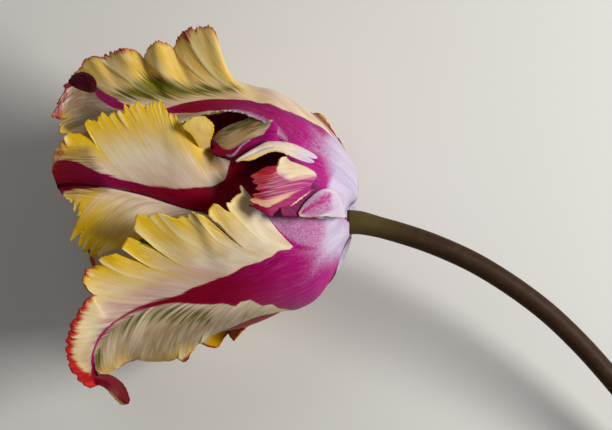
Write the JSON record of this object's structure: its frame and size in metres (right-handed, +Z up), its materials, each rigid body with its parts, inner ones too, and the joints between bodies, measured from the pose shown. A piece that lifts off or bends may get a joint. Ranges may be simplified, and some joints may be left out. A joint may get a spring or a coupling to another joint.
{
  "type": "parrot tulip",
  "caption": "Cut parrot tulip lying on its side: a half-open bloom of flamed, fringed and ruffled petals on a long stem that bends away.",
  "frame": {"origin": "centre of the flower's bounding box, at the surface that it lies on", "axes": "+Z up from the surface; the bloom's axis is level and its tips point to -X; the stem leaves the bloom to +X and bends towards -Y"},
  "size_m": [0.2214, 0.2249, 0.0869],
  "materials": {
    "tepal_outer_upper": "soft satin petal, magenta flame on cream",
    "tepal_outer_lower": "soft satin petal, cream with a magenta flame and yellow fringe",
    "tepal_outer_back": "soft satin petal, cream with a magenta flame",
    "tepal_inner_front": "soft satin petal, cream with a crimson flame and yellow fringe",
    "tepal_inner_upper": "soft satin petal, crimson and cream",
    "tepal_inner_lower": "soft satin petal, crimson and cream",
    "stem": "smooth waxy stem, olive green tinged with purple brown",
    "pistil": "smooth pale green",
    "stamen": "dusty dark purple"
  },
  "bodies": {
    "root": {"tepal_outer_upper": "tepal_outer_upper", "tepal_outer_lower": "tepal_outer_lower", "tepal_outer_back": "tepal_outer_back", "tepal_inner_front": "tepal_inner_front", "tepal_inner_upper": "tepal_inner_upper", "tepal_inner_lower": "tepal_inner_lower", "stem": "stem", "pistil": "pistil", "stamen_1": "stamen", "stamen_2": "stamen", "stamen_3": "stamen", "stamen_4": "stamen", "stamen_5": "stamen", "stamen_6": "stamen"}
  },
  "joints": []
}
